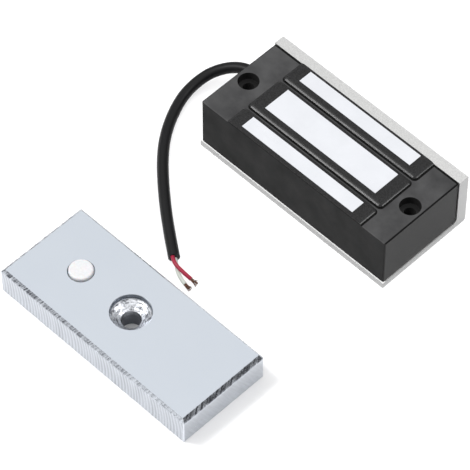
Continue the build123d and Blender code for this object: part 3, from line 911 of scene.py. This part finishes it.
def circle(centre_x, radius, height, cut_shade=0.0, fresh=0.0, torn=False):
    places = []
    for index in range(HOLE_SEGMENTS):
        angle = -2 * math.pi * index / HOLE_SEGMENTS
        relief = drill_relief(angle, height) if torn else 0.0
        reach = radius + TORN_DEPTH * relief
        place = (centre_x + reach * math.cos(angle), reach * math.sin(angle), height)
        places.append((place, clamp(cut_shade + TORN_CUT * relief) if torn else cut_shade, fresh))
    return places


def fill(mesh, rings, up):
    """A flat face inside the first ring and outside the others."""
    edges = []
    for ring in rings:
        for index, vertex in enumerate(ring):
            edges.append(mesh.edges.get((vertex, ring[(index + 1) % len(ring)])))
    bmesh.ops.triangle_fill(mesh, edges=edges, use_beauty=True, normal=(0, 0, up))


# Tearing on the recess's cone: how deep it is and how dark it makes the metal, how fast its largest
# patches change round the cone and down it, and each layer's share and how much finer it is.
TORN_DEPTH = 0.26
TORN_CUT = 2.2
PATCH_ROUND = 4.0
PATCH_DOWN = 2.2
PATCH_LAYERS = [(0.45, 1.0), (0.4, 2.6), (0.3, 5.3)]
RIDGE_SHARE = 0.08
RIDGE_PACE = 15.0
RIDGE_SPIRAL = 2.0


def drill_relief(angle, height):
    """Torn patches and faint spiral ridges on the recess's cone, from about -0.5 to 0.5."""
    place = Vector((math.cos(angle) * PATCH_ROUND, math.sin(angle) * PATCH_ROUND, height * PATCH_DOWN))
    patches = sum(share * noise(place * finer) for share, finer in PATCH_LAYERS)
    return patches + RIDGE_SHARE * math.sin(height * RIDGE_PACE + RIDGE_SPIRAL * angle)


def edge_levels():
    """(x inset, y inset, height on long sides, height on ends, place across the chamfer)."""
    levels = []
    for number in range(CHAMFER_STEPS + 1):
        share = number / CHAMFER_STEPS
        rest = 1 - share
        sides = PLATE_THICK - SIDE_CHAMFER * share
        ends = PLATE_THICK - END_CHAMFER * share
        levels.append((END_CHAMFER * rest, SIDE_CHAMFER * rest, sides, ends, share))
    for number in range(WALL_STEPS):
        height = HEEL_CHAMFER + (WALL_TOP - HEEL_CHAMFER) * (1 - number / (WALL_STEPS - 1))
        levels.append((0.0, 0.0, height, height, None))
    levels.append((HEEL_CHAMFER, HEEL_CHAMFER, 0.0, 0.0, None))
    return levels


# How dark the outside is, from cut marks and painted shade: the sawn sides are painted darker,
# most in the strokes' hollows.  The sawn sides and the milled ends each have the least and what the
# deepest marks add to it.  The long chamfers fade from the -X end to the +X end.
SAWN_SHADE = (0.13, 0.40)
MILLED_CUT = (0.12, 0.16)
MILLED_PACE = 2.6
MILLED_SLANT = 1.6
MILLED_FRAYING = 0.2
LONG_CHAMFER_CUT = 0.2
FADE_START = 1.1
FADE = 0.75
END_CHAMFER_CUT = 0.08
END_CHAMFER_DARKER = 1.35
WALL_FRESH = 0.55
CHAMFER_FRESH = 0.3


def outer_place(x, y, out, side, heights, across):
    """Where one point of the outside goes, how dark it is from cut marks and painted shade, and how
    fresh the metal is.
    """
    on_long = side in LONG_SIDES
    along = x if on_long else y
    height = heights[0] if on_long else heights[1]
    back = 0.0
    cut_shade = 0.0
    fresh = WALL_FRESH
    if side == CORNER:
        height = sum(heights) / 2
    elif height > 0.0:
        if on_long:
            sawn = saw_relief(along, height, side)
            back = SAW_DEPTH * sawn * (1.0 if across is None else across)
            # Painted shade on the sawn sides, deepest in the strokes' hollows.
            cut_shade = SAWN_SHADE[0] + SAWN_SHADE[1] * sawn
        else:
            cut_shade = milled_cut(along, height, side)
        if across is not None:
            torn = chatter(along, across, side)
            back += CHATTER_DEPTH * torn
            height -= CHATTER_DEPTH * torn * (0.0 if across == 0.0 else 1.0)
            cut_shade = chamfer_cut(along, torn, on_long)
            fresh = CHAMFER_FRESH
    return (x - out[0] * back, y - out[1] * back, height), cut_shade, fresh


def milled_cut(along, height, side):
    """How deep the cutter's slanting marks on the ends are."""
    place = Vector((along * MILLED_PACE + height * MILLED_SLANT, side * 3.0, height * MILLED_FRAYING))
    return MILLED_CUT[0] + MILLED_CUT[1] * clamp(0.5 + noise(place))


def chamfer_cut(along, torn, on_long):
    """How dark a chamfer's strokes are."""
    fade = clamp(FADE_START - (along + PLATE_LENGTH / 2) / PLATE_LENGTH * FADE)
    if on_long:
        return clamp((LONG_CHAMFER_CUT + torn) * fade)
    return clamp(END_CHAMFER_DARKER * torn + END_CHAMFER_CUT)


def outer_rings(mesh, looks):
    """The plate's outside from the top edge down to the underside."""
    rings = []
    for inset_x, inset_y, side_height, end_height, across in edge_levels():
        radius = max(CORNER_RADIUS - inset_y * CORNER_TAPER, LEAST_CORNER_RADIUS)
        outline = side_points(PLATE_LENGTH - 2 * inset_x, PLATE_WIDTH - 2 * inset_y, radius)
        heights = (side_height, end_height)
        places = [outer_place(*place, *rest, heights, across) for place, *rest in outline]
        rings.append(add_ring(mesh, looks, places))
    return rings


def hole_rings(mesh, looks, centre_x, profile):
    """A round hole's rings from the top down."""
    return [add_ring(mesh, looks, circle(centre_x, *level)) for level in profile]


# How dark the bolt hole's metal is, from its edge down to the bore: painted shade that deepens down
# the recess wall and is darkest in the bore.
RECESS_EDGE_SHADE = 0.2
RECESS_WALL_SHADE = [(1.0, 0.25), (0.25, 0.35)]
CONE_SHADE = 0.22
BORE_SHADE = 0.85
BORE_LEVELS = (4.5, 2.2, EDGE_BREAK)


def bolt_profile():
    """Radius, height, painted shade, freshness and tearing down the recess, its cone and the through
    hole.
    """
    floor = PLATE_THICK - RECESS_DEPTH
    profile = [
        (RECESS_RADIUS + EDGE_BREAK, PLATE_THICK),
        (RECESS_RADIUS, PLATE_THICK - EDGE_BREAK, RECESS_EDGE_SHADE),
    ]
    profile += [(RECESS_RADIUS, floor + above, cut_shade) for above, cut_shade in RECESS_WALL_SHADE]
    cone_radius = RECESS_RADIUS - CONE_LIP
    for number in range(CONE_STEPS + 1):
        share = number / CONE_STEPS
        radius = cone_radius + (BORE_RADIUS - cone_radius) * share
        profile.append((radius, floor - CONE_HEIGHT * share, CONE_SHADE, 1.0, 0 < number < CONE_STEPS))
    profile += [(BORE_RADIUS, height, BORE_SHADE) for height in BORE_LEVELS]
    profile.append((BORE_RADIUS + EDGE_BREAK, 0.0))
    return profile


def plunger_profile():
    """Radius and height down the button's bore, its shoulder and the wider bore behind it."""
    shoulder = PLATE_THICK - PLUNGER_NECK_DEPTH
    return [
        (PLUNGER_BORE_RADIUS + EDGE_BREAK, PLATE_THICK),
        (PLUNGER_BORE_RADIUS, PLATE_THICK - EDGE_BREAK),
        (PLUNGER_BORE_RADIUS, shoulder),
        (PLUNGER_BACK_RADIUS, shoulder),
        (PLUNGER_BACK_RADIUS, EDGE_BREAK),
        (PLUNGER_BACK_RADIUS + EDGE_BREAK, 0.0),
    ]


def add_plate(material):
    """The plate as one mesh, with saw strokes, torn chamfers and a drilled recess."""
    mesh = bmesh.new()
    looks = {}
    outer = outer_rings(mesh, looks)
    bolt = hole_rings(mesh, looks, 0.0, bolt_profile())
    plunger = hole_rings(mesh, looks, PLUNGER_OFFSET, plunger_profile())
    faces = []
    for upper, lower in zip(outer, outer[1:]):
        faces += bridge(mesh, upper, lower)
    for rings in (bolt, plunger):
        for upper, lower in zip(rings, rings[1:]):
            faces += bridge(mesh, upper, lower)
    for face in faces:
        face.smooth = True
    carry_looks(mesh, looks, faces)
    fill(mesh, [outer[0], bolt[0], plunger[0]], 1.0)
    fill(mesh, [outer[-1], bolt[-1], plunger[-1]], -1.0)
    bmesh.ops.recalc_face_normals(mesh, faces=mesh.faces[:])
    for edge in mesh.edges:
        if len(edge.link_faces) == 2 and edge.calc_face_angle(0.0) > SHARP_ANGLE:
            edge.smooth = False
    for vertex in mesh.verts:
        vertex.co = (vertex.co + plate_corner) * MM
    data = bpy.data.meshes.new("milled_plate")
    mesh.to_mesh(data)
    mesh.free()
    data.materials.append(material)
    piece = bpy.data.objects.new("milled_plate", data)
    bpy.context.scene.collection.objects.link(piece)
    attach(piece, "armature")
    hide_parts("armature_plate")
    return piece


# ================================================================ CAD nodes and their finishes
def paint(material, *names):
    for name in names:
        data = nodes[name].data
        data.materials.clear()
        data.materials.append(material)


def add_return_spring(material):
    """The plunger's spring, a copy of its mesh in steel that rides on the armature."""
    data = nodes["plunger_spring"].data.copy()
    data.materials.clear()
    data.materials.append(material)
    piece = bpy.data.objects.new("return_spring", data)
    bpy.context.scene.collection.objects.link(piece)
    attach(piece, "armature")
    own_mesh(piece)
    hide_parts("plunger_spring")


def paint_cad_nodes():
    steel = ground_steel("zinc_steel", (0.70, 0.70, 0.68), (1.0, 1.0, 1.0), depth=0.01)
    iron = ground_steel("core_iron", (0.55, 0.55, 0.56), (0.05, 2.0, 2.0), depth=0.02)
    nickel = ground_steel("nickel_poles", (0.835, 0.85, 0.89), (0.04, 2.4, 1.0), depth=0.002)
    paint(moulded_black(), "housing_shell")
    paint(cast_resin(), "potting_fill")
    paint(extruded_aluminium(), "angle_bracket")
    paint(nickel, "middle_pole", "free_side_pole", "wall_side_pole")
    paint(iron, "yoke_plate")
    paint(steel, "core_screws", "pole_screws", "plunger_plug")
    add_return_spring(steel)
    paint(plain("natural_nylon", (0.78, 0.75, 0.65), 0.45), "coil_bobbin")
    paint(wound_copper(), "coil_winding")
    paint(polyester_tape(), "coil_tape")
    paint(plain("tinned_brass", (0.78, 0.66, 0.42), 0.3, metallic=1.0), "coil_pins")
    paint(plain("shrunk_sleeve", (0.03, 0.03, 0.03), 0.5), "joint_sleeves")
    paint(plain("diode_case", (0.025, 0.025, 0.025), 0.4), "suppressor_diode")
    paint(plain("soft_rubber", (0.022, 0.022, 0.022), 0.55), "cable_grommet")
    paint(bpy.data.materials["cable_black"], "cable_tail")
    paint(bpy.data.materials["red_pvc"], "inner_lead_red")
    paint(bpy.data.materials["white_pvc"], "inner_lead_white")
    paint(white_nylon(), "release_plunger")


add_camera()
add_world()
add_floor()
bpy.context.scene.view_settings.view_transform = "Standard"
add_cable()
add_lamps(add_plate(bright_plate()))
paint_cad_nodes()
